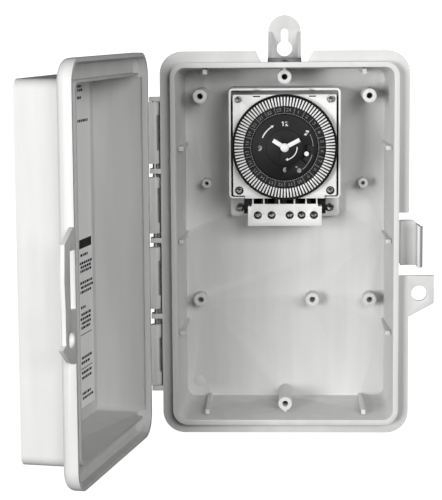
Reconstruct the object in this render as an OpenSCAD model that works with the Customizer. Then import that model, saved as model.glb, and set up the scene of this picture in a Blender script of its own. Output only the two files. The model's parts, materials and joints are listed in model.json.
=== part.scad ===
// DIN 72 x 72 mm dial time switch in a wall enclosure with a side-hinged, padlockable door.
// Frame: origin at the centre of the enclosure's back face, +X right, front towards -Y, +Z up.

/* [Enclosure] */
// Width over the front flange, mm
box_w = 162; // [140:1:200]
// Height over the front flange, mm
box_h = 252; // [220:1:300]
// Wall to the front face of the flange, mm
box_d = 57.5; // [50:0.5:80]
// Height of the raised lip in front of the flange, mm
lip_rise = 8.4; // [6:0.1:8.4]
// Side wall thickness, mm
wall_t = 3.3; // [2.5:0.1:4]
// Back wall thickness, mm
back_t = 3; // [2:0.5:4]
// Draft of each side wall from front to back, mm
draft = 3; // [1:0.5:4]

/* [Door] */
// Depth of the door, mm
door_d = 40; // [30:1:60]
// Depth of the skirt's straight part, mm
skirt_d = 5.8; // [5.5:0.1:6.5]
// Rounding of the skirt's front edge, mm
skirt_r = 4.4; // [3:0.1:4.6]
// Depth at which the ledge reaches the front tray, mm
shoulder_d = 11.6; // [11.5:0.1:14]
// Inset of the front tray at top and bottom, mm
step_z = 12.2; // [6:0.1:16]
// Inset of the front tray on the latch side, mm
step_x = 14.7; // [6:0.1:18]
// Door wall thickness, mm
door_t = 2.5; // [2:0.1:3.5]
// Angle at which the door stands open, degrees
door_open = 101; // [0:1:165]

/* [Hinge] */
// Hinge pin diameter, mm
pin_dia = 2.8; // [2:0.1:4]
// Outside diameter of the door knuckles, mm
knuckle_dia = 6.3; // [6:0.1:6.4]

/* [Timer] */
// Height of the dial axis above the enclosure's centre, mm
dial_z = 63.3; // [55:0.1:66]
// Outside diameter of the 24-hour dial, mm
dial_dia = 69; // [66:0.5:70]
// Number of trippers round the dial
tripper_count = 96; // [48, 96]
// Width of one tripper, mm
tripper_w = 1; // [0.6:0.1:1.1]
// Length of one tripper, mm
tripper_len = 5.9; // [4:0.1:6]
// Angle of the minute hand from +X, degrees
minute_angle = 28; // [0:1:359]
// Angle of the hour hand from +X, degrees
hour_angle = 148; // [0:1:359]

/* [Terminals] */
// Diameter of the screw access holes, mm
access_dia = 5.4; // [4:0.1:6]

/* [Colours] */
// Enclosure and door plastic
grey = [0.78, 0.79, 0.78];
// Light timer plastic
white = [0.92, 0.92, 0.9];
// Dial and dark plastic
black = [0.06, 0.06, 0.065];
// Steel parts
steel = [0.6, 0.6, 0.62];
// Brass parts
brass = [0.75, 0.6, 0.3];

/* [Hidden] */
$fn = 64;
fy = -box_d;
hw = box_w / 2;
hh = box_h / 2;
lip_y = fy - lip_rise;
lip_in = 10.4;
in_w = box_w - 2 * lip_in;
in_h = box_h - 2 * lip_in;
out_w = in_w + 2 * wall_t;
out_h = in_h + 2 * wall_t;
flange_t = 2.8;
pin_x = -hw - 4;
pin_y = fy + 2.3;
rim_gap = 0.3;
ledge_t = 2.8;
pocket_r = 4.4;
rib_t = 1.6;
rib_x = -66.5;
brackets = [[93.8, 96.6], [46.8, 50], [1.2, 4.4], [-49.2, -46], [-97.6, -94.2]];
knuckles = [[53.2, 93.4], [7.4, 44.3], [-42.6, -1.8], [-93.8, -53.2]];
lock_x = 87.8;
lock_z = -32.6;
lock_r = 5;
lay_x = -12 * cos(45);
lay_z = dial_z - 12 * sin(45);
motor_x = lay_x + 12;
movable = [4, 16, 28, 52, 64, 88];
term_x = [-18, -8.8, 3.2, 11.1, 19.3];
cell_x = [-21.2, -13.9, -3.7, 6.4, 14.1, 21.2];

// ---------- drawing helpers ----------
module rr(w, h, r) {
  square([w - 2 * r, h], center = true);
  square([w, h - 2 * r], center = true);
  for (x = [-1, 1], z = [-1, 1])
    translate([x * (w / 2 - r), z * (h / 2 - r)]) circle(r = r);
}
module slab(back, front) {
  translate([0, back, 0]) rotate([90, 0, 0]) linear_extrude(height = back - front) children();
}
module draft_slab(back, front, w, h, r) {
  hull() {
    slab(back, back - 0.01) rr(w - 2 * draft, h - 2 * draft, r, $fn = 32);
    slab(front + 0.01, front) rr(w, h, r, $fn = 32);
  }
}
module rod(x, z, back, front, r) {
  translate([x, back, z]) rotate([90, 0, 0]) cylinder(h = back - front, r = r);
}
module bx(x0, x1, y0, y1, z0, z1) {
  translate([x0, y0, z0]) cube([x1 - x0, y1 - y0, z1 - z0]);
}
module post(x, y, z0, z1, r) {
  translate([x, y, z0]) cylinder(h = z1 - z0, r = r);
}
module both() {
  children();
  mirror([1, 0, 0]) children();
}
module at_dial(a = 0) {
  translate([0, 0, dial_z]) rotate([0, -a, 0]) children();
}
module screw_head(x, z, back, front, r) {
  difference() {
    rod(x, z, back, front, r);
    bx(x - r * 0.7, x + r * 0.7, front - 1, front + 0.7, z - 0.4, z + 0.4);
    bx(x - 0.4, x + 0.4, front - 1, front + 0.7, z - r * 0.7, z + r * 0.7);
  }
}
// Trapezoid teeth, thinned so that a pair runs free of contact
module teeth(z, m, bore_r, bore_fn, turn) {
  p = 360 / z;
  ro = z * m / 2 + 0.7 * m;
  ri = z * m / 2 - 1.25 * m;
  rotate(turn) difference() {
    polygon([for (i = [0 : z - 1], k = [0 : 3])
      let (a = i * p + p * [-0.17, -0.07, 0.07, 0.17][k], r = [ri, ro, ro, ri][k])
      [r * cos(a), r * sin(a)]]);
    if (bore_r > 0) rotate(-turn) circle(r = bore_r, $fn = bore_fn);
  }
}
module gear(x, z, back, front, n, m, bore_r, bore_fn, turn) {
  translate([x, 0, z]) slab(back, front) teeth(n, m, bore_r, bore_fn, turn);
}

// ---------- enclosure ----------
module boss(x, z, front, r, hole, depth) {
  difference() {
    rod(x, z, -back_t + 0.5, front, r);
    rod(x, z, front + depth, front - 1, hole);
  }
}
module tray() {
  difference() {
    union() {
      draft_slab(0, fy + 0.5, out_w, out_h, 9);
      slab(fy + flange_t, fy) rr(box_w, box_h, 14.5);
      slab(fy + 1, lip_y) rr(out_w, out_h, 9.5);
      hanger_ramp();
    }
    draft_slab(-back_t, lip_y - 0.1, in_w, in_h, 6);
  }
}
// The sloping pad on the top wall below the hanger, and the low arched pocket in it
module hanger_ramp() {
  translate([-11, 0, out_h / 2]) rotate([90, 0, 90]) linear_extrude(height = 22)
    polygon([[fy + 1, -3], [fy + 1, -0.4], [fy + 18, 2.3], [fy + 18, -3]]);
}
module ramp_pocket() {
  intersection() {
    rod(0, out_h / 2 + 1.1 - pocket_r, fy + 16.5, fy + 2, pocket_r);
    bx(-pocket_r, pocket_r, fy + 2, fy + 17, out_h / 2 - 0.9, out_h / 2 + 1.5);
  }
}
module wall_ribs() {
  for (z = [62.7, 1.4, -59.5]) both() bx(66, 69.5, -55, -back_t + 0.5, z - 1.3, z + 1.3);
  for (s = [-1, 1]) both()
    bx(50.5, 53.1, -55, -back_t + 0.5, min(s * 111, s * 114.2), max(s * 111, s * 114.2));
}
module hanger_tab() {
  difference() {
    union() {
      slab(0, -back_t) {
        translate([0, 137.9]) circle(r = 11);
        translate([-11, 112]) square([22, 25.9]);
      }
      both() translate([8.8, 0, 0]) rotate([90, 0, 90]) linear_extrude(height = 2.2)
        polygon([[-2, 137.7], [-4, 137.7], [-22, 119], [-22, 114], [-2, 114]]);
    }
    rod(0, 126.4, 1, -back_t - 1, 5.1);
    bx(-2.4, 2.4, -back_t - 1, 1, 126.4, 137.4);
    rod(0, 137.4, 1, -back_t - 1, 2.4);
  }
}
module hinge_brackets() {
  for (b = brackets) {
    bx(pin_x - 3.1, -hw, pin_y - 3.1, pin_y + 5, b[0], b[1]);
    bx(-hw - 0.1, -hw + 4, fy, pin_y + 5, b[0], b[1]);
  }
  bx(pin_x - 1.5, -hw + 8, pin_y + 3.5, pin_y + 5, brackets[4][0], brackets[0][1]);
}
module enclosure() color(grey) difference() {
  union() {
    difference() {
      union() {
        tray();
        slab(fy + flange_t, fy) difference() {
          polygon([[74, -21], [97.5, -21], [97.5, -39.2], [81.8, -47.9], [74, -49]]);
          translate([-in_w / 2 - 1, -in_h / 2]) square([in_w + 2, in_h]);
        }
      }
      slab(fy + flange_t + 0.1, fy - 0.1)
        polygon([[-15, out_h / 2], [15, out_h / 2], [19.2, hh + 1], [-19.2, hh + 1]]);
      bx(out_w / 2 + 0.2, hw + 1, fy - 1, fy + flange_t + 1, -21, 20.6);
    }
    difference() {
      hinge_brackets();
      slab(1, lip_y - 1) rr(out_w - 0.2, out_h, 9);
    }
    hanger_tab();
    wall_ribs();
    for (s = [-1, 1]) {
      boss(0, s * 108.9, -47, 4.5, 2, 25);
      bx(-1.2, 1.2, -45, -back_t + 0.5, min(s * 112.8, s * 115.5), max(s * 112.8, s * 115.5));
    }
    both() {
      boss(55.5, 96.4, -47, 4.5, 2, 25);
      boss(57.5, -43.5, -16, 4.5, 2, 11);
      boss(52.8, 36.2, -16, 3.2, 1.3, 11);
      boss(30.5, 20, -12, 3.8, 1.5, 8.5);
      bx(24, 32, -3.6, -back_t + 0.5, 88, 96);
    }
    boss(18.6, -43.5, -16, 4.5, 2, 11);
    bx(72, 75.2, fy + 3.2, fy + 9, -13, 15);
  }
  ramp_pocket();
  post(pin_x, pin_y, -100, 95, pin_dia / 2);
  rod(lock_x, lock_z, 0, fy - 1, lock_r);
  translate([-59.2, 0, -102.4]) slab(-back_t + 0.3, -back_t - 0.2) difference() {
    circle(r = 4.4);
    circle(r = 3.9);
  }
}
module hinge_pin() color(steel) post(pin_x, pin_y, -97.6, 95, pin_dia / 2);

// ---------- door, drawn closed and then swung open ----------
module swung() {
  translate([pin_x, pin_y, 0]) rotate([0, 0, -door_open]) translate([-pin_x, -pin_y, 0])
    children();
}
module door_tray(x1, z1, r, back, front) {
  x0 = -hw + 0.4;
  translate([(x0 + x1) / 2, 0, 0]) slab(back, front) rr(x1 - x0, 2 * z1, r, $fn = 48);
}
// A level of the skirt, inset by e all round
module skirt_level(y, e) {
  slab(y + 0.02, y) rr(box_w - 0.8 - 2 * e, box_h - 0.4 - 2 * e, 14.5 - e, $fn = 48);
}
module skirt_outside() {
  slab(fy - rim_gap, fy - skirt_d - 0.1) rr(box_w - 0.8, box_h - 0.4, 14.5);
  hull() {
    for (a = [0 : 18 : 90])
      skirt_level(fy - skirt_d - skirt_r * sin(a), skirt_r * (1 - cos(a)));
    door_tray(hw - step_x, hh - step_z, 7, fy - shoulder_d + 0.1, fy - shoulder_d);
  }
}
module skirt_inside() {
  slab(fy - rim_gap + 1, fy - skirt_d)
    rr(box_w - 0.8 - 2 * door_t, box_h - 0.4 - 2 * door_t, 14.5 - door_t);
  hull() {
    skirt_level(fy - skirt_d + 0.1, door_t);
    skirt_level(fy - shoulder_d + ledge_t, door_t + 2);
  }
}
// The tray's walls carried forward inside the skirt, clear of the lip on the hinge side
module door_rib() {
  x1 = hw - step_x - door_t;
  z1 = hh - step_z - door_t;
  slab(fy - 3, fy - shoulder_d + 0.5) difference() {
    intersection() {
      translate([x1 + rib_t - hw, 0]) rr(box_w, 2 * (z1 + rib_t), 6);
      translate([rib_x, -hh]) square([box_w, box_h]);
    }
    translate([x1 - hw - 1, 0]) rr(box_w + 2, 2 * z1, 4.5);
  }
}
module door_strip() {
  difference() {
    slab(fy - rim_gap, fy - rim_gap - 2.5)
      polygon([[78, 31], [82, 31], [98, 23], [99.4, 2], [98.2, -14], [98.2, -34], [104.6, -36],
        [91, -45], [82, -47.5], [78, -47.5]]);
    latch_slot();
    rod(lock_x, lock_z, 0, fy - 4, lock_r);
  }
}
module latch_slot() {
  bx(79.6, 88.8, fy - 4, fy, -15.9, 18.2);
}
module door() color(grey) swung() difference() {
  union() {
    difference() {
      union() {
        skirt_outside();
        door_tray(hw - step_x, hh - step_z, 7, fy - 4, fy - door_d);
        for (k = knuckles) {
          bx(pin_x, -hw - 0.4, fy - 5, pin_y - 0.2, k[0], k[1]);
          bx(-hw - 0.5, -hw + 2, fy - 5, fy - rim_gap, k[0], k[1]);
          post(pin_x, pin_y, k[0], k[1], knuckle_dia / 2);
        }
      }
      skirt_inside();
      translate([door_t / 2, 0, 0])
        door_tray(hw - step_x - 1.5 * door_t, hh - step_z - door_t, 4.5, fy - 3.9, fy - door_d + door_t);
      for (k = knuckles) translate([0, 0, (k[0] + k[1]) / 2])
        bx(pin_x - 4, pin_x + 4, pin_y + 2, pin_y + 4, -11.5, 11.5);
    }
    door_strip();
    door_rib();
  }
  post(pin_x, pin_y, -110, 110, pin_dia / 2 + 0.06);
  latch_slot();
}
module door_label() color(white) swung()
  bx(-72, 58, fy - door_d + door_t, fy - door_d + door_t + 0.2, -103, 107);

// ---------- latch ----------
module latch_tongue() color(grey) difference() {
  translate([0, 0, -14.6]) linear_extrude(height = 29.7)
    polygon([[75.5, -49], [75.5, -54], [77.5, -52.8], [80.5, -52], [83.5, -52.2], [85.6, -53.2],
      [85.9, -54.2], [85.9, -65], [87.4, -65.4], [89.5, -62.4], [89.5, -61.4], [88.1, -61.4],
      [88.1, -52.4], [86.8, -50], [84, -49], [80.5, -48.6]]);
  slab(-40, -70) polygon([[83.6, 15.3], [87.2, 12.4], [92, 12.4], [92, 16], [83.6, 16]]);
}

// ---------- adapter with rail channel ----------
module adapter_base() color(white) difference() {
  union() {
    slab(-3.6, -14) translate([0, (101.4 + 13.8) / 2]) rr(73.2, 87.6, 2.6);
    slab(-13, -46) difference() {
      translate([0, (101.4 + 29.3) / 2]) rr(73.2, 72.1, 2.6);
      translate([0, (100.1 + 30.1) / 2]) rr(70.6, 70, 1.4);
    }
    both() {
      bx(33, 35.8, -40, -13, 40, 41.5);
      bx(33, 35.8, -40, -13, 84, 85.5);
    }
  }
  both() {
    rod(30.5, 20, 0, -20, 2.1);
    rod(30.5, 20, 0, -12, 4.2);
    bx(16, 20, -47, -42, 99, 103);
  }
  bx(-40, 40, -12, -3, 45.2, 80.8);
  bx(-8.3, 8.3, -7.2, -3, 30, 46);
  strip_slots(29, 31);
}
module rail_clip() color(white) {
  bx(-8, 8, -6.9, -5.6, 33, 46.4);
  bx(-6, 6, -5.6, -4.4, 33, 35.5);
}
module ear_screws() color(steel) both() {
  screw_head(30.5, 20, -14, -16.6, 2.6);
  rod(30.5, 20, -4.5, -14, 1.5);
}

// ---------- terminals ----------
// Slots that let the contact strips through
module strip_slots(z0, z1) {
  for (x = term_x) bx(x - 1.5, x + 1.5, -19.3, -18, z0, z1);
}
module terminal_body() color(black) difference() {
  union() {
    bx(-21.6, 21.6, -34, -14, 11.4, 28.6);
    bx(-27.4, 27.4, -24, -14, 16.6, 28.6);
  }
  for (x = term_x) {
    bx(x - 3.2, x + 3.2, -34.1, -17, 13, 21);
    bx(x - 2.4, x + 2.4, -28, -22, 11, 14);
    bx(x - 2.2, x + 2.2, -35, -24, 24.4, 29);
  }
  strip_slots(20.9, 28.7);
}
module terminal_cover() color(white) difference() {
  union() {
    bx(-24.5, 24.5, -38, -36.6, 9.9, 22.9);
    bx(-22, 22, -38, -36.6, 22, 24.5);
    both() bx(22.9, 24.5, -37, -24.2, 11.4, 22.9);
    bx(-24.5, 24.5, -37, -34, 9.9, 11.2);
    for (x = cell_x) bx(x - 0.45, x + 0.45, -38, -34.2, 22, 29);
  }
  for (x = term_x) rod(x, 17, -30, -40, access_dia / 2);
}
module terminal_clamps() color(brass) for (x = term_x) difference() {
  bx(x - 2.9, x + 2.9, -31, -19, 13.4, 20.6);
  bx(x - 2, x + 2, -28.6, -20, 12, 20.0);
  rod(x, 17, -28, -32, 1.5);
}
module terminal_screws() color(steel) for (x = term_x) {
  screw_head(x, 17, -31, -33, 2.5);
  rod(x, 17, -25, -31, 1.5);
}
module contact_strips() color(brass) for (x = term_x)
  bx(x - 1.2, x + 1.2, -19, -18.3, 14, 33.8);

// ---------- timer case ----------
module timer_housing() color(black) difference() {
  union() {
    bx(-33, 33, -46.4, -14, 31, 95.5);
    both() rod(30.4, 94.4, -30, -46.4, 2.3);
  }
  difference() {
    bx(-31.4, 31.4, -47, -15.6, 32.6, 92);
    both() rod(29.9, 34.5, -30, -46.4, 2.9);
  }
  both() {
    rod(30.4, 94.4, -38, -47, 0.9);
    rod(29.9, 34.5, -38, -47, 0.9);
  }
  strip_slots(30, 33);
}
module face_plate() color(white) difference() {
  union() {
    slab(-46.4, -48.4) {
      translate([0, (31.2 + 97.4) / 2]) rr(67.8, 66.2, 1.2);
      translate([-26.1, 29.3]) square([52.2, 5]);
    }
    bx(22.6, 25.4, -46.5, -41.6, 58.4, 59.6);
    bx(22.6, 25.4, -46.5, -41.6, 67, 68.2);
  }
  rod(0, dial_z, -40, -50, 5.2);
  rod(lay_x, lay_z, -40, -47.6, 0.55);
  both() {
    rod(30.4, 94.4, -40, -50, 1.1);
    rod(29.9, 34.5, -40, -50, 2.8);
    bx(16, 20.6, -50, -45, 95.9, 96.7);
  }
  rod(30.4, 94.4, -47.6, -50, 2.8);
  bx(28.9, 31.6, -50, -45, 62.1, 64.5);
  post(24, -43.2, 50, 80, 0.6);
}
module plate_screws() color(steel) both() {
  screw_head(30.4, 94.4, -48.4, -49.9, 2.1);
  rod(30.4, 94.4, -39, -48.4, 0.9);
  screw_head(29.9, 34.5, -46.4, -47.6, 1.9);
  rod(29.9, 34.5, -39, -46.4, 0.9);
}

// ---------- movement frame ----------
module plate_hole_set() {
  both() for (z = [45, 81.5]) translate([18, z]) circle(r = 1);
}
module movement_plate() color(brass) slab(-38.2, -39.4) difference() {
  translate([-21, 41]) square([42, 44]);
  plate_hole_set();
  both() translate([19.4, 62]) circle(r = 0.8);
  translate([0, dial_z]) circle(r = 0.95);
  translate([lay_x, lay_z]) circle(r = 0.95);
  translate([motor_x, lay_z]) circle(r = 2.5);
}
module bridge_plate() color(brass) slab(-43.4, -44.4) difference() {
  translate([-21, 41]) square([42, 44]);
  plate_hole_set();
  translate([0, dial_z]) circle(r = 2.9);
  translate([lay_x, lay_z]) circle(r = 1.1);
}
module plate_pillars() color(steel) both() for (z = [45, 81.5]) {
  rod(18, z, -39.4, -43.4, 2);
  rod(18, z, -44.4, -46.4, 2);
  rod(18, z, -38.2, -46.4, 1);
}
module centre_post() color(steel) difference() {
  union() {
    rod(0, dial_z, -43.4, -54, 2.9);
    rod(0, dial_z, -44.4, -44.6, 4);
  }
  rod(0, dial_z, -40, -60, 1.8);
}

// ---------- dial ----------
module face_disc() color(black) difference() {
  union() {
    rod(0, dial_z, -52.6, -53.6, 21.4);
    rod(0, dial_z, -53.5, -54.4, 12);
  }
  rod(0, dial_z, -50, -54, 2.9);
  rod(0, dial_z, -50, -60, 1.9);
  at_dial() rotate([90, 0, 0]) rotate([0, 0, -38]) rotate_extrude(angle = 44)
    translate([13.2, 50]) square([4, 6]);
}
module slots() {
  for (i = [0 : tripper_count - 1]) rotate(i * 360 / tripper_count)
    translate([26.7, -tripper_w / 2 - 0.15]) square([7.4, tripper_w + 0.3]);
}
module dial() color(black) {
  difference() {
    union() {
      translate([0, 0, dial_z]) slab(-49.6, -53.5) difference() {
        circle(r = dial_dia / 2);
        circle(r = 21.8);
        slots();
      }
      rod(0, dial_z, -49, -49.7, dial_dia / 2);
      rod(0, dial_z, -49, -50.4, 21.9);
      rod(0, dial_z, -44.8, -49.1, 4.9);
    }
    rod(0, dial_z, -40, -60, 3.1);
  }
}
module dial_wheel() color(brass)
  gear(0, dial_z, -44.8, -46, 64, 1 / 3, 4.9, 64, 225 + 180 / 64);
module tripper(i) {
  at_dial(i * 360 / tripper_count) bx(27, 27 + tripper_len, -54.3, -49.8, -tripper_w / 2, tripper_w / 2);
}
module tripper_set() color(white) for (i = [0 : tripper_count - 1])
  if (len(search(i, movable)) == 0) tripper(i);
module tripper_a() color(white) tripper(movable[0]);
module tripper_b() color(white) tripper(movable[1]);
module tripper_c() color(white) tripper(movable[2]);
module tripper_d() color(white) tripper(movable[3]);
module tripper_e() color(white) tripper(movable[4]);
module tripper_f() color(white) tripper(movable[5]);

// ---------- hands and motion work ----------
module hour_wheel() color(brass)
  gear(0, dial_z, -41.8, -43, 48, 0.4, 1.8, 8, 225 + 180 / 48);
module hour_pipe() color(brass) difference() {
  union() {
    translate([0, 0, dial_z]) slab(-41.8, -43) circle(r = 1.8, $fn = 8);
    rod(0, dial_z, -43, -56.2, 1.5);
  }
  rod(0, dial_z, -40, -60, 0.95);
}
module hand(a, len, w, back, front, hub, bore) {
  at_dial(a) difference() {
    union() {
      bx(0, len, front, back, -w / 2, w / 2);
      translate([0, back, 0]) rotate([90, 0, 0]) cylinder(h = back - front, r = hub);
    }
    translate([0, back + 1, 0]) rotate([90, 0, 0]) cylinder(h = back - front + 2, r = bore);
  }
}
module hour_hand() color(white) hand(hour_angle, 8.9, 2.8, -55.5, -56.1, 2.8, 1.5);
module minute_arbor() color(steel) {
  rod(0, dial_z, -38.4, -58, 0.75);
  translate([0, 0, dial_z]) slab(-40, -41.4) circle(r = 1.2, $fn = 8);
}
module cannon_pinion() color(brass)
  gear(0, dial_z, -40, -41.4, 12, 0.5, 1.2, 8, 225);
module minute_hand() color(white) hand(minute_angle, 11, 2.7, -56.8, -57.4, 2.8, 0.75);
module hand_cap() color(white) difference() {
  rod(0, dial_z, -57.4, -58.2, 2.3);
  rod(0, dial_z, -57, -58, 0.75);
}
module lay_arbor() color(steel) {
  rod(lay_x, lay_z, -38.4, -44.6, 0.75);
  translate([lay_x, 0, lay_z]) slab(-40, -41.4) circle(r = 2, $fn = 8);
  rod(lay_x, lay_z, -46, -47.2, 0.4);
}
module minute_wheel() color(brass)
  gear(lay_x, lay_z, -40, -41.4, 36, 0.5, 2, 8, 45 + 180 / 36);
module lay_pinion_hour() color(brass) difference() {
  gear(lay_x, lay_z, -41.6, -43.1, 12, 0.4, 0, 8, 45);
  rod(lay_x, lay_z, -41, -44, 0.75);
}
module lay_pinion_dial() color(brass)
  gear(lay_x, lay_z, -44.6, -46, 8, 1 / 3, 0, 8, 45);
module motor() color(steel) difference() {
  union() {
    rod(0, 62, -24, -38.2, 18);
    bx(-22.5, 22.5, -38.2, -37.4, 58, 66);
  }
  both() rod(19.4, 62, -30, -40, 0.8);
  rod(motor_x, lay_z, -30, -40, 1.4);
}
module motor_screws() color(steel) both() {
  rod(19.4, 62, -36.2, -37.4, 1.3);
  rod(19.4, 62, -37.4, -39.3, 0.8);
}
module motor_shaft() color(steel) {
  rod(motor_x, lay_z, -32, -40, 1.2);
  translate([motor_x, 0, lay_z]) slab(-40, -41.4) circle(r = 1.2, $fn = 8);
}
module motor_pinion() color(brass)
  gear(motor_x, lay_z, -40, -41.4, 12, 0.5, 1.2, 8, 180 + 180 / 12);

// ---------- manual switch and microswitch ----------
module override_lever() color(black) difference() {
  union() {
    rod(0, dial_z, -51, -52.2, 5.6);
    at_dial(-17) {
      bx(4, 16.6, -52.2, -51, -1.4, 1.4);
      translate([15.2, -51.5, 0]) rotate([90, 0, 0]) cylinder(h = 2.4, r = 1.6);
    }
  }
  rod(0, dial_z, -50, -60, 3.05);
}
module microswitch() color(black) difference() {
  bx(23, 31, -40.5, -30, 52, 73);
  bx(25.9, 28.1, -42, -37, 61.9, 64.1);
}
module switch_plunger() color(white) bx(26.1, 27.9, -41.9, -38, 62.1, 63.9);
module switch_lever() color(steel) {
  difference() {
    union() {
      post(24, -43.2, 59.8, 66.8, 1.3);
      bx(24, 31, -44.1, -43.3, 60.2, 66.4);
    }
    post(24, -43.2, 50, 80, 0.72);
  }
  bx(29.4, 30.6, -48.6, -43.6, 62.6, 64);
}
module lever_pin() color(steel) post(24, -43.2, 58.4, 68.2, 0.6);

enclosure();
hinge_pin();
door();
door_label();
latch_tongue();
adapter_base();
rail_clip();
ear_screws();
terminal_body();
terminal_cover();
terminal_clamps();
terminal_screws();
contact_strips();
timer_housing();
face_plate();
plate_screws();
movement_plate();
bridge_plate();
plate_pillars();
centre_post();
face_disc();
dial();
dial_wheel();
tripper_set();
tripper_a();
tripper_b();
tripper_c();
tripper_d();
tripper_e();
tripper_f();
hour_wheel();
hour_pipe();
hour_hand();
minute_arbor();
cannon_pinion();
minute_hand();
hand_cap();
lay_arbor();
minute_wheel();
lay_pinion_hour();
lay_pinion_dial();
motor();
motor_screws();
motor_shaft();
motor_pinion();
override_lever();
microswitch();
switch_plunger();
switch_lever();
lever_pin();
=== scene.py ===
"""Looks for the dial time switch in its wall enclosure. Metres, in the frame of the CAD model."""

import json
import math

import bmesh
import bpy
from mathutils import Matrix, Vector


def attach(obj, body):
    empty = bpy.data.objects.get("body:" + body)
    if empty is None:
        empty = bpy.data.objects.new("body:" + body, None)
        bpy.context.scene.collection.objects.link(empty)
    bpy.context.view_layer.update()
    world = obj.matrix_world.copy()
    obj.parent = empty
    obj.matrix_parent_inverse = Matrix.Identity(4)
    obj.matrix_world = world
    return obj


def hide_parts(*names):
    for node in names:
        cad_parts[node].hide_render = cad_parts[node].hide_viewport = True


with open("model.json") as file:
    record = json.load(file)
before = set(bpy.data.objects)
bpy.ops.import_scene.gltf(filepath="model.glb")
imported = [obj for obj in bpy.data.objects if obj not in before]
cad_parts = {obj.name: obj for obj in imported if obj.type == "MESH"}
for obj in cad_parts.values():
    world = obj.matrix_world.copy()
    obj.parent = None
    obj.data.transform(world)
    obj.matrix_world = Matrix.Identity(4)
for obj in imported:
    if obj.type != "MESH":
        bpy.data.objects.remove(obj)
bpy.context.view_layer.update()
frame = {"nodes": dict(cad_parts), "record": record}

MM = 0.001
NODES = frame["nodes"]
BODY_OF = {n: b for b, nodes in frame["record"]["behaviour"]["bodies"].items() for n in nodes}
SLOT_OF = {s["node"]: s["material_slot"] for s in frame["record"]["subparts"]}


# ---------- camera, floor and light ----------
CAMERA_AT = (-0.00007, -1.19596, 0.14858)
CAMERA_TURN = (-2.105, -7.610, -0.407)
LENS = 126.12
SENSOR = 36
VIEW_REACH = 20
LAMP_SIZE = 0.6
LAMP_DISTANCE = 2


def camera():
    """A long lens that looks down a little and a touch to the left, as in the photograph."""
    yaw, pitch, roll = (math.radians(a) for a in CAMERA_TURN)
    forward = Vector((math.sin(yaw) * math.cos(pitch), math.cos(yaw) * math.cos(pitch), math.sin(pitch)))
    right = Vector((math.cos(yaw), -math.sin(yaw), 0))
    up = right.cross(forward)
    side = math.cos(roll) * right + math.sin(roll) * up
    top = math.cos(roll) * up - math.sin(roll) * right
    data = bpy.data.cameras.new("camera")
    data.sensor_width = SENSOR
    data.lens = LENS
    data.clip_end = VIEW_REACH
    cam = bpy.data.objects.new("camera", data)
    bpy.context.collection.objects.link(cam)
    aim = Matrix((side, top, -forward)).transposed().to_4x4()
    cam.matrix_world = Matrix.Translation(CAMERA_AT) @ aim
    bpy.context.scene.camera = cam


def softbox(name, turn, rise, power):
    """A square lamp aimed at the origin, turn degrees to the right of the front and rise degrees up."""
    data = bpy.data.lights.new(name, "AREA")
    data.size = LAMP_SIZE
    data.energy = power
    lamp = bpy.data.objects.new(name, data)
    bpy.context.collection.objects.link(lamp)
    a, e = math.radians(turn), math.radians(rise)
    lamp.location = (LAMP_DISTANCE * math.sin(a) * math.cos(e),
                     -LAMP_DISTANCE * math.cos(a) * math.cos(e),
                     LAMP_DISTANCE * math.sin(e))
    lamp.rotation_euler = (-lamp.location).to_track_quat("-Z", "Y").to_euler()


def studio():
    """Four lamps, almost no light from the surroundings, and colours shown as they are."""
    world = bpy.data.worlds.new("studio")
    bpy.context.scene.world = world
    world.use_nodes = True
    world.node_tree.nodes["Background"].inputs[0].default_value = (1, 1, 1, 1)
    world.node_tree.nodes["Background"].inputs[1].default_value = 0.03
    softbox("key", -28, 3, 31)
    softbox("high", -50, 28, 6)
    softbox("front", 15, 15, 14)
    softbox("fill", 35, 12, 9)
    bpy.context.scene.view_settings.view_transform = "Standard"


def backdrop():
    """A white sweep: floor, a round bend and a wall, lit from within so that it stays white."""
    floor_z, front, back, top, reach, bend = -0.5, -3.0, 2.2, 3.0, 3.5, 0.8
    profile = [(front, floor_z), (back - bend, floor_z)]
    profile += [(back - bend + bend * math.sin(a), floor_z + bend - bend * math.cos(a))
                for a in (math.radians(d) for d in range(10, 91, 10))]
    profile.append((back, top))
    mesh = bpy.data.meshes.new("floor")
    verts = [(x, y, z) for y, z in profile for x in (-reach, reach)]
    faces = [(2 * i, 2 * i + 1, 2 * i + 3, 2 * i + 2) for i in range(len(profile) - 1)]
    mesh.from_pydata(verts, [], faces)
    mesh.shade_smooth()
    floor = bpy.data.objects.new("floor", mesh)
    bpy.context.collection.objects.link(floor)
    mat = bpy.data.materials.new("floor")
    mat.use_nodes = True
    shader = mat.node_tree.nodes["Principled BSDF"]
    shader.inputs["Base Color"].default_value = (0.9, 0.9, 0.9, 1)
    shader.inputs["Roughness"].default_value = 0.9
    shader.inputs["Emission Color"].default_value = (1, 1, 1, 1)
    shader.inputs["Emission Strength"].default_value = 0.95
    mesh.materials.append(mat)
    floor.visible_diffuse = False
    floor.visible_glossy = False


# ---------- materials ----------
GRAIN = 1500
GLOSS_SPREAD = 0.08
RELIEF = 0.0003


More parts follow.
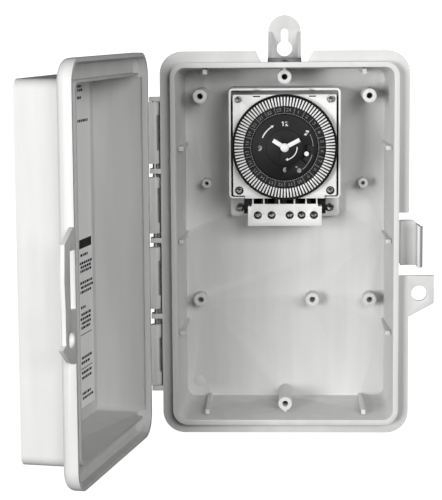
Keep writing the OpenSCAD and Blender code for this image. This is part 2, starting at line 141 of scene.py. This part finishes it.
def material(name, dark, light, rough, bump=0.04, blotch=25, streak=(1, 1, 1), metallic=0.0, specular=0.5):
    """A moulded or machined surface: blotchy tone between two colours, fine grain in gloss and relief."""
    mat = bpy.data.materials.new(name)
    mat.use_nodes = True
    tree = mat.node_tree
    shader = tree.nodes["Principled BSDF"]
    shader.inputs["Metallic"].default_value = metallic
    shader.inputs["Specular IOR Level"].default_value = specular
    place = tree.nodes.new("ShaderNodeTexCoord")
    stretch = tree.nodes.new("ShaderNodeMapping")
    stretch.inputs["Scale"].default_value = streak
    tree.links.new(place.outputs["Object"], stretch.inputs["Vector"])
    broad = tree.nodes.new("ShaderNodeTexNoise")
    broad.inputs["Scale"].default_value = blotch
    broad.inputs["Detail"].default_value = 4
    tree.links.new(stretch.outputs["Vector"], broad.inputs["Vector"])
    tone = tree.nodes.new("ShaderNodeValToRGB")
    tone.color_ramp.elements[0].position = 0.3
    tone.color_ramp.elements[1].position = 0.7
    tone.color_ramp.elements[0].color = (*dark, 1)
    tone.color_ramp.elements[1].color = (*light, 1)
    tree.links.new(broad.outputs["Fac"], tone.inputs["Fac"])
    tree.links.new(tone.outputs["Color"], shader.inputs["Base Color"])
    fine = tree.nodes.new("ShaderNodeTexNoise")
    fine.inputs["Scale"].default_value = GRAIN
    fine.inputs["Detail"].default_value = 3
    tree.links.new(place.outputs["Object"], fine.inputs["Vector"])
    gloss = tree.nodes.new("ShaderNodeMapRange")
    gloss.inputs["To Min"].default_value = rough - GLOSS_SPREAD
    gloss.inputs["To Max"].default_value = rough + GLOSS_SPREAD
    tree.links.new(fine.outputs["Fac"], gloss.inputs["Value"])
    tree.links.new(gloss.outputs["Result"], shader.inputs["Roughness"])
    relief = tree.nodes.new("ShaderNodeBump")
    relief.inputs["Strength"].default_value = bump
    relief.inputs["Distance"].default_value = RELIEF
    tree.links.new(fine.outputs["Fac"], relief.inputs["Height"])
    tree.links.new(relief.outputs["Normal"], shader.inputs["Normal"])
    return mat


def grey(value):
    """A grey with the faintest warm cast."""
    return (value, value, value * 0.99)


MATS = {
    "shell": material("shell_plastic", grey(0.55), grey(0.6), 0.5, streak=(4, 4, 0.4), specular=0.35),
    "light": material("light_plastic", grey(0.6), grey(0.68), 0.4, bump=0.06),
    "dark": material("dark_plastic", grey(0.004), grey(0.009), 0.5, specular=0.15),
    "steel": material("zinc_steel", grey(0.35), grey(0.55), 0.35, metallic=1.0, blotch=300),
    "dark_steel": material("dark_steel", grey(0.05), grey(0.16), 0.35, metallic=1.0, blotch=500),
    "brass": material("brass", (0.55, 0.4, 0.16), (0.65, 0.5, 0.22), 0.3, metallic=1.0, blotch=200),
    "label": material("label_film", grey(0.84), grey(0.9), 0.3, bump=0.02, streak=(8, 8, 0.4)),
}
INK_WHITE = material("ink_white", grey(0.62), grey(0.7), 0.5, blotch=400)
INK_GREY = material("ink_grey", grey(0.11), grey(0.24), 0.5, blotch=500)
INK_BLACK = material("ink_black", grey(0.005), grey(0.015), 0.6, blotch=400, specular=0.1)


# ---------- pieces ----------
WELD = 1e-6
FLAT_ANGLE = 1.5
BEVEL_ANGLE = 35
SHARP_ANGLE = 38


def add(name, mesh, body, mat):
    """One visible piece in one material, riding on a body of the frame."""
    piece = bpy.data.objects.new(name, mesh)
    bpy.context.collection.objects.link(piece)
    mesh.materials.clear()
    mesh.materials.append(mat)
    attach(piece, body)
    return piece


def softened(node, width):
    """The CAD node with its moulded edges rounded by width, shown in place of it."""
    mesh = NODES[node].data.copy()
    bm = bmesh.new()
    bm.from_mesh(mesh)
    bmesh.ops.remove_doubles(bm, verts=bm.verts, dist=WELD)
    bmesh.ops.dissolve_limit(bm, angle_limit=math.radians(FLAT_ANGLE), verts=bm.verts, edges=bm.edges)
    bm.to_mesh(mesh)
    bm.free()
    rough = bpy.data.objects.new(node + "_rough", mesh)
    bpy.context.collection.objects.link(rough)
    bevel = rough.modifiers.new("edges", "BEVEL")
    bevel.width = width
    bevel.segments = 2
    bevel.limit_method = "ANGLE"
    bevel.angle_limit = math.radians(BEVEL_ANGLE)
    bevel.use_clamp_overlap = True
    bpy.context.view_layer.update()
    evaluated = rough.evaluated_get(bpy.context.evaluated_depsgraph_get())
    shaped = bpy.data.meshes.new_from_object(evaluated)
    bpy.data.objects.remove(rough)
    shaped.shade_smooth()
    shaped.set_sharp_from_angle(angle=math.radians(SHARP_ANGLE))
    slot = SLOT_OF[node]
    piece = add(node + "_shaped", shaped, BODY_OF[node], MATS[slot])
    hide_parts(node)


# ---------- printed marks, in mm ----------
INK = 0.03
SUNK = 0.2 * INK
DIAL_Z = 63.3
RING_FRONT = -53.5
DISC_FRONT = -53.6
HUB_FRONT = -54.4
LEVER_FRONT = -53.9
DOOR_OPEN = 101
LABEL_FRONT = -94.8
LABEL_CENTRE = (-78, 0)

# Each digit is one or more open paths in a cell DIGIT_WIDE wide and DIGIT_TALL high.
DIGIT_WIDE = 1
DIGIT_TALL = 1.6
DIGIT_STEP = 1.45
STROKES = {
    "0": [[(.5, 0), (.1, .2), (0, .8), (.1, 1.4), (.5, 1.6), (.9, 1.4), (1, .8), (.9, .2), (.5, 0)]],
    "1": [[(.2, 1.25), (.6, 1.6), (.6, 0)]],
    "2": [[(.05, 1.2), (.25, 1.55), (.7, 1.55), (.95, 1.2), (.85, .8), (0, 0), (1, 0)]],
    "3": [[(.05, 1.6), (.95, 1.6), (.45, .95), (.9, .75), (.95, .3), (.6, 0), (.2, .05), (0, .3)]],
    "4": [[(.75, 0), (.75, 1.6), (0, .5), (1, .5)]],
    "5": [[(.9, 1.6), (.15, 1.6), (.1, .9), (.6, 1), (.95, .7), (.9, .2), (.5, 0), (.05, .15)]],
    "6": [[(.85, 1.5), (.4, 1.5), (.05, .9), (.05, .3), (.4, 0), (.8, .1), (.95, .5), (.7, .85),
           (.1, .75)]],
    "7": [[(0, 1.6), (1, 1.6), (.4, 0)]],
    "8": [[(.5, .85), (.1, 1.15), (.2, 1.5), (.5, 1.6), (.8, 1.5), (.9, 1.15), (.5, .85), (.05, .5),
           (.1, .1), (.5, 0), (.9, .1), (.95, .5), (.5, .85)]],
    "9": [[(.15, .1), (.6, .1), (.95, .7), (.95, 1.3), (.6, 1.6), (.2, 1.5), (.05, 1.1), (.3, .75),
           (.9, .85)]],
}


def polar(r, degrees):
    """The point at a radius and an angle."""
    a = math.radians(degrees)
    return r * math.cos(a), r * math.sin(a)


def line(a, b, width):
    """A straight stroke from a to b with square ends that run half a width past them."""
    along = (Vector(b) - Vector(a)).normalized() * width / 2
    across = Vector((-along.y, along.x))
    a, b = Vector(a) - along, Vector(b) + along
    return [tuple(p) for p in (a + across, a - across, b - across, b + across)]


def arc(r0, r1, start, end, parts=None):
    """A band between two radii, as short four-sided pieces."""
    parts = parts or max(1, int(abs(end - start) / 6))
    turns = [start + (end - start) * k / parts for k in range(parts + 1)]
    return [[polar(r0, a), polar(r1, a), polar(r1, b), polar(r0, b)] for a, b in zip(turns, turns[1:])]


def bar(x0, x1, z, height):
    """An upright rectangle from x0 to x1 that stands on z."""
    return [(x0, z), (x1, z), (x1, z + height), (x0, z + height)]


def disc(x, z, r):
    """A round dot about x, z."""
    return [(x + dx, z + dz) for dx, dz in (polar(r, a) for a in range(0, 360, 15))]


def numeral(text, x, z, height, width, turn=0):
    """Digits as strokes, centred on x, z and turned by a number of degrees."""
    unit, shapes = height / DIGIT_TALL, []
    c, s = polar(1, turn)
    for i, digit in enumerate(text):
        shift = (i - (len(text) - 1) / 2) * DIGIT_STEP - DIGIT_WIDE / 2
        for path in STROKES[digit]:
            flat = [((px + shift) * unit, (pz - DIGIT_TALL / 2) * unit) for px, pz in path]
            flat = [(x + px * c - pz * s, z + px * s + pz * c) for px, pz in flat]
            shapes += [line(a, b, width) for a, b in zip(flat, flat[1:])]
    return shapes


def printed(name, shapes, y, body, mat, centre=(0, DIAL_Z), facing=-1, swing=None):
    """Flat shapes, x and z about a centre, as ink on the plane y that faces -Y or +Y."""
    bm = bmesh.new()
    for shape in shapes:
        ends = []
        for depth in (SUNK, -INK):
            level = y - facing * depth
            ends.append([bm.verts.new(((x + centre[0]) * MM, level * MM, (z + centre[1]) * MM))
                         for x, z in shape])
        bm.faces.new(ends[0])
        bm.faces.new(ends[1])
        for i in range(len(shape)):
            j = (i + 1) % len(shape)
            bm.faces.new((ends[0][i], ends[0][j], ends[1][j], ends[1][i]))
    bmesh.ops.recalc_face_normals(bm, faces=bm.faces)
    if swing is not None:
        bm.transform(swing)
    mesh = bpy.data.meshes.new(name)
    bm.to_mesh(mesh)
    bm.free()
    add(name, mesh, body, mat)


def dial_print():
    """Hour lines and small numerals on the turning ring, and a row of dashes inside them."""
    shapes = []
    lag = 6.2
    for hour in range(24):
        a = 90 - 15 * hour
        shapes.append(line(polar(22.6, a), polar(26.2, a), 0.28))
        text = str(hour if hour else 24)
        shapes += numeral(text, *polar(24.6, a - lag), 1.9, 0.3, a - 90 - lag)
        shapes += [arc(21.95, 22.35, a + d, a + d + 2.2, 1)[0] for d in (0.8, 4.55, 8.3, 12.05)]
    printed("dial_scale", shapes, RING_FRONT, "dial", INK_GREY)


def face_print():
    """White numerals and arrows, fainter arcs and dots on the fixed disc, and the dot on the lever."""
    shapes = numeral("12", 0, 15.5, 2.6, 0.55) + numeral("9", -16.05, -0.5, 3.0, 0.6)
    shapes += numeral("6", 0, -14.7, 2.7, 0.5)
    shapes += arc(15.45, 16.2, 156.5, 122)
    shapes.append([polar(14.9, 123), polar(16.9, 123), polar(16, 116)])
    shapes.append([(12.6, 8.2), (14.0, 10.2), (15.4, 9.7), (14.0, 7.6)])
    shapes.append([(13.4, 8.4), (13.9, 11.1), (16.0, 10.6), (15.6, 9.6)])
    printed("face_marks", shapes, DISC_FRONT, "housing", INK_WHITE)
    inner = arc(7.8, 8.4, 2, -76)
    inner.append([polar(7.1, -75), polar(9.1, -75), polar(8.1, -86)])
    printed("face_arrow", inner, HUB_FRONT, "housing", INK_WHITE)
    faint = arc(18.3, 18.75, -15, -51) + arc(18.3, 18.75, 27, 2)
    faint += [disc(9.45, -15.2, 1.5), disc(7.7, -12.9, 0.7)]
    printed("face_faint", faint, DISC_FRONT, "housing", INK_GREY)
    printed("lever_dot", [disc(14.3, -4.2, 1.5)], LEVER_FRONT, "override", INK_WHITE)


def label_print():
    """A heavy bar and lines of illegible small print on the film inside the door."""
    joint = next(j for j in frame["record"]["behaviour"]["joints"] if j["name"] == "door_hinge")
    pin = Vector(joint["pos_m"])
    turn = Matrix.Rotation(-math.radians(DOOR_OPEN), 4, "Z")
    swing = Matrix.Translation(pin) @ turn @ Matrix.Translation(-pin)
    edge, letter_height, gap, ragged = 34, 1.7, 0.9, 2.5
    # Each block of print: height of its first line, number of lines, line pitch, width.
    blocks = [(104, 2, 2.4, 10), (96.8, 1, 0, 8), (82, 1, 0, 23), (-4.4, 1, 0, 19), (-9.6, 3, 2.6, 24),
              (-22.4, 3, 3, 24), (-38.4, 1, 0, 10), (-43, 4, 2.9, 20), (-71.4, 2, 3.2, 21),
              (-81.2, 2, 3.4, 20), (-95, 2, 3, 20)]
    shapes = [bar(8, edge, 0.9, 5.8)]
    shapes += [bar(10, edge, z, 0.5) for z in (-55.6, -77.8)]
    for top, rows, pitch, wide in blocks:
        for k in range(rows):
            start, z = edge - ragged * abs(math.sin(top + 2 * k)), top - k * pitch
            end = start - wide * (1 - 0.15 * abs(math.sin(top + k)))
            while start > end:
                word = 1.8 + 2.4 * abs(math.sin(7.1 * start + k))
                shapes.append(bar(start, start - word, z, letter_height))
                start -= word + gap
    printed("label_print", shapes, LABEL_FRONT, "door", INK_BLACK, LABEL_CENTRE, 1, swing)


# ---------- the scene ----------
camera()
studio()
backdrop()

for node, obj in NODES.items():
    obj.data.materials.clear()
    obj.data.materials.append(MATS[SLOT_OF[node]])

# Width in mm of the rounding on each node's edges.
EDGES = {
    "enclosure": 0.7, "door": 0.6, "latch_tongue": 0.4, "adapter_base": 0.4, "terminal_cover": 0.25,
    "face_plate": 0.25, "dial": 0.15, "tripper_set": 0.12, "hour_hand": 0.12, "minute_hand": 0.12,
    "hand_cap": 0.2, "override_lever": 0.2, "face_disc": 0.15, "ear_screws": 0.2, "plate_screws": 0.15,
    "terminal_body": 0.2, "terminal_screws": 0.15,
}
EDGES.update({f"tripper_{letter}": 0.12 for letter in "abcdef"})
for node, width in EDGES.items():
    softened(node, width * MM)

dial_print()
face_print()
label_print()
